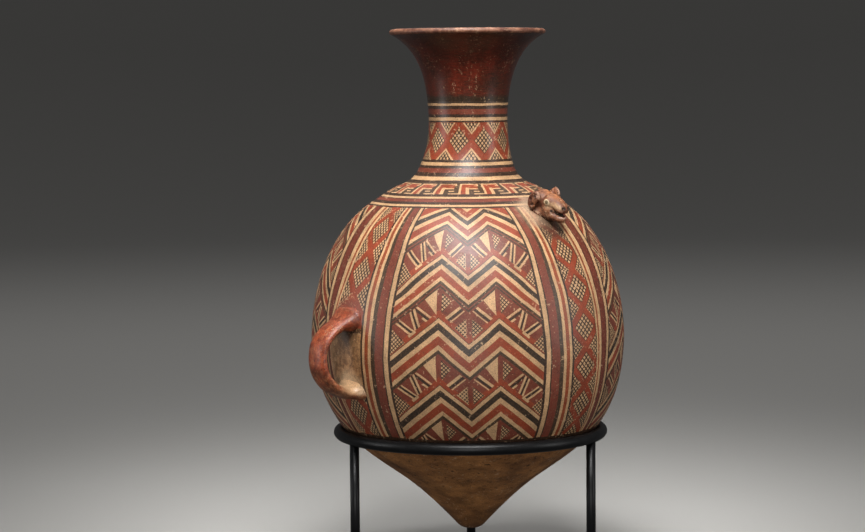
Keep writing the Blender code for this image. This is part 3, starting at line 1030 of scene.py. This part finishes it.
def headSpace():
    for low, high in zip(outline, outline[1:]):
        if low.x >= head["seatRadius"] > high.x:
            share = (head["seatRadius"] - low.x) / (high.x - low.x)
            seat = low.lerp(high, share)
            slope = degrees(atan2(high.z - low.z, high.x - low.x))
    middle = seat + slopeOutward(slope) * head["standoff"]
    return (Matrix.Translation((0, -middle.x, middle.z)) @ Matrix.Rotation(-pi / 2, 4, "Z")
            @ Matrix.Rotation(head["tilt"], 4, "Y") @ Matrix.Scale(0.001, 4)), slope


def headPaint():
    coat = Coat("headPaint")
    patch = coat.cloud(0.009, 4, 0.6)
    tone = coat.mix(coat.smooth(patch, 0.32, 0.68), rgb(98, 54, 37), rgb(144, 92, 62))
    colour = coat.mix(coat.attribute("dabs", "Alpha"), tone, coat.attribute("dabs", "Color"))
    return finishPaint(coat, colour, roughness=0.5, wear=0.9, gloss=0.35, depth=2)


def distanceToLine(at, line):
    best = (at - Vector(line[0])).length
    for low, high in zip(line, line[1:]):
        nearest, share = intersect_point_line(at, Vector(low), Vector(high))
        if 0 < share < 1:
            best = min(best, (at - nearest).length)
        best = min(best, (at - Vector(high)).length)
    return best


def dabHead(skin, space):
    # The dabs, with the painted shade and highlights among them, kept on the vertices: colour, and how well
    # it covers
    dabs = skin.verts.layers.float_color.new("dabs")
    back = space.inverted()
    for vert in skin.verts:
        at = back @ vert.co
        mirrored = Vector((at.x, abs(at.y), at.z))
        found = [(mirrored, dab) for dab in head["dabs"]]
        ear = Vector(head["ears"][0 if at.y < 0 else 1])
        if (at - ear).length < 18 and abs(at.y) > abs(ear.y) - 3:
            flat = at - ear
            flat.y = 0
            found += [(flat, dab) for dab in head["earDabs"]]
        colour, cover = Vector((0, 0, 0)), 0
        for spot, (line, core, edge, tint, strength) in found:
            wander = noise.noise(at / 3.5) * (edge - core) * 0.25
            share = (edge - distanceToLine(spot, line) + wander) / (edge - core)
            share = clamped(share) * strength
            tint = Vector(rgb(*tint)[:3])
            total = share + cover * (1 - share)
            if total > 0:
                colour = (tint * share + colour * cover * (1 - share)) / total
            cover = total
        vert[dabs] = (*colour, cover)


def remeshed(bm, grain):
    # One skin round everything in the bmesh
    holder = placedMesh("rough", bm)
    modifier = holder.modifiers.new("Remesh", "REMESH")
    modifier.mode = "VOXEL"
    modifier.voxel_size = grain
    evaluated = holder.evaluated_get(bpy.context.evaluated_depsgraph_get())
    skin = bmesh.new()
    skin.from_mesh(bpy.data.meshes.new_from_object(evaluated))
    bpy.data.objects.remove(holder, do_unlink=True)
    return skin


def shapeHead():
    space, slope = headSpace()
    bm = bmesh.new()

    def ball(middle, radii, lean=0):
        made = bmesh.ops.create_icosphere(bm, subdivisions=4 if max(radii) > 5 else 3, radius=1)
        shape = Matrix.Rotation(lean, 4, "Z") @ Matrix.Diagonal((*radii, 1))
        bmesh.ops.transform(bm, matrix=Matrix.Translation(middle) @ shape, verts=made["verts"])

    line = lineThrough(bm, [(radius, 0, -depth) for radius, depth in head["neck"]])
    spinRound(bm, line, head["neckSteps"], 0.01)
    upright = Matrix.Rotation(radians(180 - slope) - head["tilt"], 4, "Y")
    forward = Matrix.Translation((head["neckForward"], 0, 0))
    bmesh.ops.transform(bm, matrix=upright @ forward, verts=bm.verts)
    for middle, radii in head["lumps"]:
        ball(middle, radii)
    for side in (-1, 1):
        (x, y, z), radii = head["eye"]
        ball((x, y * side, z), radii, side * head["eyeTurn"])
        # An ear: its root, its fold and its rim, beads along a loop left open towards the cheek
        middle = Vector(head["ears"][0 if side < 0 else 1])
        ball(middle + Vector((-2, -2.8 * side, 0)), (6, 5, 9))
        ball(middle + Vector((0.5, -0.3 * side, -1)), (5.2, 2.9, 8.0))
        wide, tall = head["earSize"]
        lean = (Matrix.Rotation(-side * head["earTurn"], 3, "Z")
                @ Matrix.Rotation(side * head["earLean"], 3, "X"))
        start, end = head["earLoop"]
        for bead in range(head["earBeads"]):
            share = bead / (head["earBeads"] - 1)
            turn = radians(start + (end - start) * share)
            spot = middle + lean @ Vector((cos(turn) * wide, 0, sin(turn) * tall))
            thick = head["earRim"] * (1 - 0.25 * share)
            ball(spot, (thick, thick, thick))
    bmesh.ops.transform(bm, matrix=space, verts=bm.verts)
    skin = remeshed(bm, head["grain"])
    back = space.inverted()
    for vert in skin.verts:
        at = back @ vert.co
        for spot, reach, depth in head["dents"]:
            away = (at - Vector(spot)).length / reach
            if away < 1:
                vert.co -= vert.normal * depth * 0.001 * (1 - away ** 2) ** 2
    for turn in range(4):
        bmesh.ops.smooth_vert(skin, verts=skin.verts, factor=0.5, use_axis_x=True, use_axis_y=True,
                              use_axis_z=True)
    bmesh.ops.recalc_face_normals(skin, faces=skin.faces)
    dabHead(skin, space)
    finishedPiece("animal_head", skin, [headPaint()], ["jar"])


shapeHead()
print("head shaped")

# Stand
stand = {
    "ringRadius": 0.17975,
    "ringHeight": 0.1908,
    "barRadius": 0.008,
    "legRadius": 0.00635,
    "legAngles": (-71, 45, 165),
    "ringSteps": 224,
    "barSides": 28,
}


def steelPaint():
    coat = Coat("steelPaint")
    dust = coat.cloud(0.03, 4, 0.6)
    colour = coat.mix(coat.smooth(dust, 0.4, 0.75), rgb(11, 11, 12), rgb(19, 19, 20))
    peel = coat.cloud(0.0012, 2, 0.5)
    return coat.finished(colour, dust * 0.2 + 0.30, 0.3, peel, 0.00006)


def shapeStand():
    steel = steelPaint()
    bm = bmesh.new()
    bmesh.ops.create_circle(bm, segments=stand["barSides"], radius=stand["barRadius"])
    bmesh.ops.rotate(bm, verts=bm.verts, cent=(0, 0, 0), matrix=Matrix.Rotation(pi / 2, 3, "X"))
    bmesh.ops.translate(bm, verts=bm.verts, vec=(stand["ringRadius"], 0, stand["ringHeight"]))
    spinRound(bm, bm.verts[:] + bm.edges[:], stand["ringSteps"])
    finishedPiece("ring", bm, [steel], ["stand_ring"])
    for angle, side in zip(stand["legAngles"], ("right", "back", "left")):
        bm = bmesh.new()
        made = bmesh.ops.create_cone(bm, cap_ends=True, segments=40, radius1=stand["legRadius"],
                                     radius2=stand["legRadius"], depth=stand["ringHeight"])
        turn = radians(angle)
        place = Vector((cos(turn), sin(turn), 0)) * stand["ringRadius"]
        bmesh.ops.translate(bm, verts=made["verts"], vec=place + Vector((0, 0, stand["ringHeight"] / 2)))
        finishedPiece("leg_" + side, bm, [steel], ["stand_leg_" + side])


shapeStand()
print("stand shaped")

# Studio: a pale floor that curves up into a wall all round
studio = {
    "floorRadius": 7.0,
    "curve": 4.0,
    "wall": 5.0,
    "steps": 96,
    "paper": rgb(190, 188, 184),
    "air": 0.075,               # light from all round
}


def shapeStudio():
    bm = bmesh.new()
    radius, curve = studio["floorRadius"], studio["curve"]
    path = [Vector((0, 0, 0)), Vector((2, 0, 0)), Vector((radius, 0, 0))]
    for step in range(1, 17):
        angle = pi / 2 * step / 16
        path.append(Vector((radius + curve * sin(angle), 0, curve * (1 - cos(angle)))))
    path.append(path[-1] + Vector((0, 0, studio["wall"])))
    spinRound(bm, lineThrough(bm, path), studio["steps"], 0.0001)
    bmesh.ops.reverse_faces(bm, faces=bm.faces)
    floor = placedMesh("studio", bm)
    floor.data.shade_smooth()
    coat = Coat("paper")
    coat.feed(coat.shader.inputs["Base Color"], studio["paper"])
    coat.feed(coat.shader.inputs["Roughness"], 0.85)
    floor.data.materials.append(coat.material)
    # The photo's dark surroundings throw no light back, so this pale floor throws none either
    floor.visible_diffuse = False
    floor.visible_glossy = False


# Soft boxes that look at the jar: azimuth from over the camera and to the right, elevation, distance,
# size, power, the height each looks at and its spread
lights = {
    "keyBox": (3, 51, 1.6, (0.9, 0.75), 3.8, 0.48, 46),
    "topBox": (-30, 73, 1.7, (0.4, 0.4), 1.8, 0.45, 60),
    "leftStrip": (-76, 6, 1.5, (0.17, 0.95), 0.58, 0.42, 60),
    "rightStrip": (68, 10, 1.5, (0.14, 1.1), 0.65, 0.42, 60),
    "lowFill": (0, 5, 1.6, (0.53, 0.2), 0.3, 0.13, 40),
    "backdropBox": (180, 60, 5.0, (3.0, 3.0), 60, 0.42, 180),
}


def addLight(name, azimuth, elevation, distance, size, power, aim, spread):
    data = bpy.data.lights.new(name, "AREA")
    data.shape = "RECTANGLE"
    data.size, data.size_y = size
    data.energy = power
    data.spread = radians(spread)
    light = placed(name, data)
    turn = camera["azimuth"] + radians(azimuth)
    lift = radians(elevation)
    away = Vector((cos(turn) * cos(lift), sin(turn) * cos(lift), sin(lift)))
    light.location = Vector((0, 0, aim)) + away * distance
    light.rotation_euler = (-away).to_track_quat("-Z", "Y").to_euler()


def lightStudio():
    world = bpy.data.worlds.new("studioAir")
    bpy.context.scene.world = world
    world.use_nodes = True
    air = world.node_tree.nodes["Background"]
    air.inputs["Color"].default_value = (1, 1, 1, 1)
    air.inputs["Strength"].default_value = studio["air"]
    for name, values in lights.items():
        addLight(name, *values)


shapeStudio()
lightStudio()
view = bpy.context.scene.view_settings
view.view_transform = "Standard"
view.look = "None"
print("studio lit")
